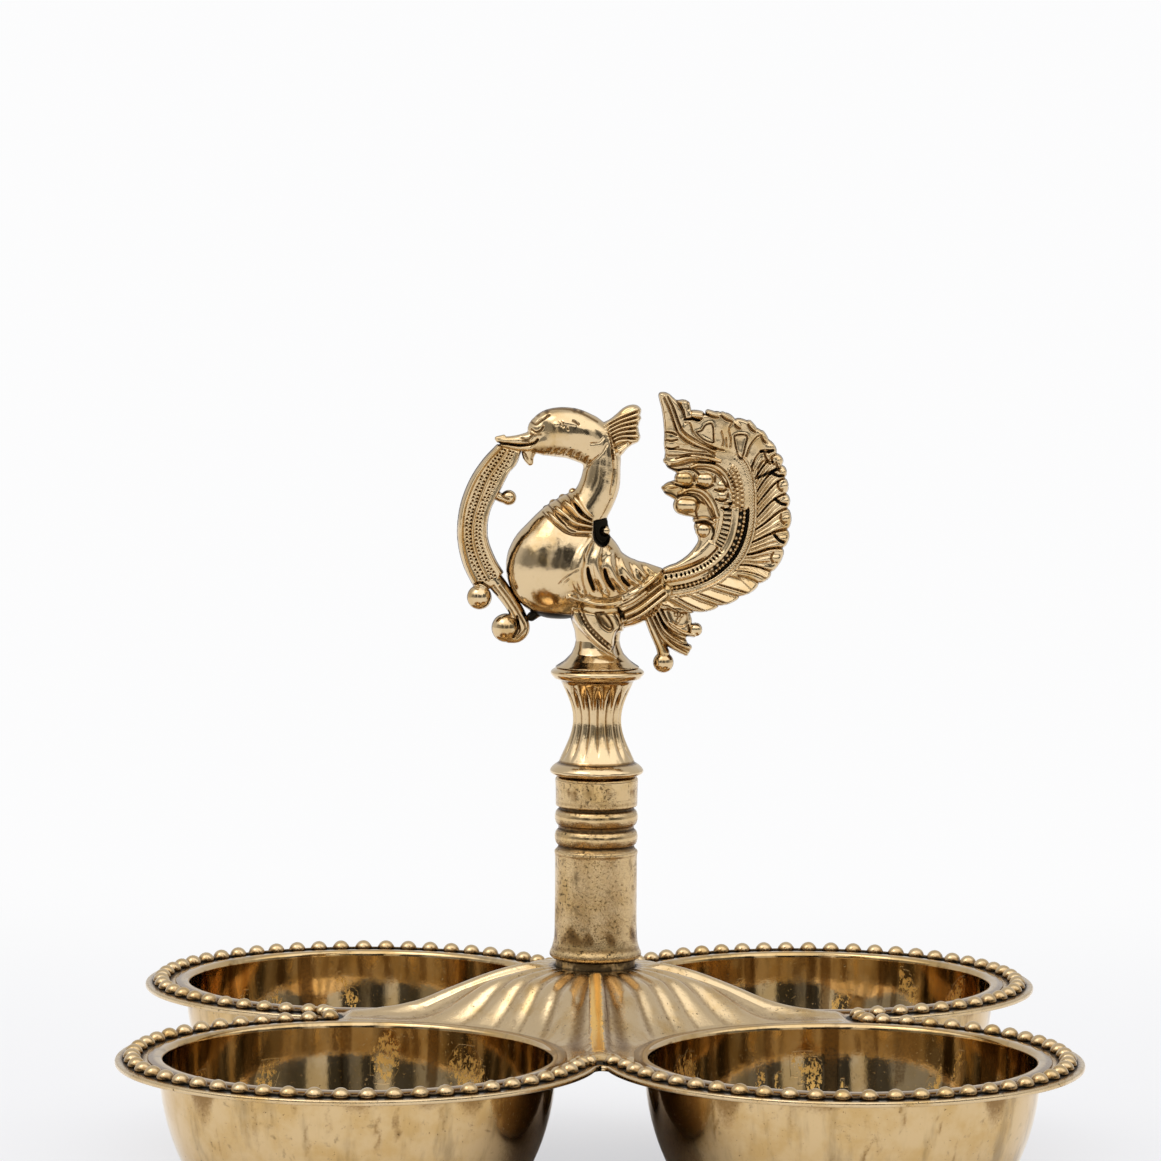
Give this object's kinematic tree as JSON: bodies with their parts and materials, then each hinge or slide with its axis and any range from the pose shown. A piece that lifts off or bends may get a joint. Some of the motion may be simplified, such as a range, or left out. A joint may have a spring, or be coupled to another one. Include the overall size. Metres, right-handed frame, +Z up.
{
  "type": "puja box",
  "caption": "Brass worship tray of open bowls in a beaded clover-shaped plate, with a fluted dome and a bird-topped carrying handle screwed through its middle.",
  "frame": {"origin": "on the table under the centre of the tray", "axes": "+Z up along the handle, +X towards the bird's tail, +Y away from the picture's viewer"},
  "size_m": [0.14, 0.14, 0.1226],
  "materials": {
    "tray_brass": "satin, worn, dark in the flutes",
    "bowl_brass": "polished inside, tarnished outside",
    "bead_brass": "bright on the crowns, black between",
    "stem_brass": "satin, pitted",
    "cast_brass": "polished with dark patina in the recesses",
    "aged_brass": "dark, unpolished",
    "steel": "plated, dull"
  },
  "bodies": {
    "tray": {"tray_plate": "tray_brass", "bowl_front_left": "bowl_brass", "bowl_front_right": "bowl_brass", "bowl_back_right": "bowl_brass", "bowl_back_left": "bowl_brass", "bead_wire_front_left": "bead_brass", "bead_wire_front_right": "bead_brass", "bead_wire_back_right": "bead_brass", "bead_wire_back_left": "bead_brass", "seat_washer": "aged_brass", "plate_washer": "steel"},
    "handle": {"stem_sleeve": "stem_brass", "baluster": "cast_brass", "bird_body": "cast_brass", "tail_plume": "cast_brass", "beak_garland": "cast_brass", "tie_rod": "steel", "hex_nut": "steel"}
  },
  "joints": [
    {"name": "handle_swivel", "type": "hinge", "parent": "tray", "child": "handle", "pos_m": [0, 0, 0.037], "axis": [0, 0, 1], "continuous": true}
  ]
}
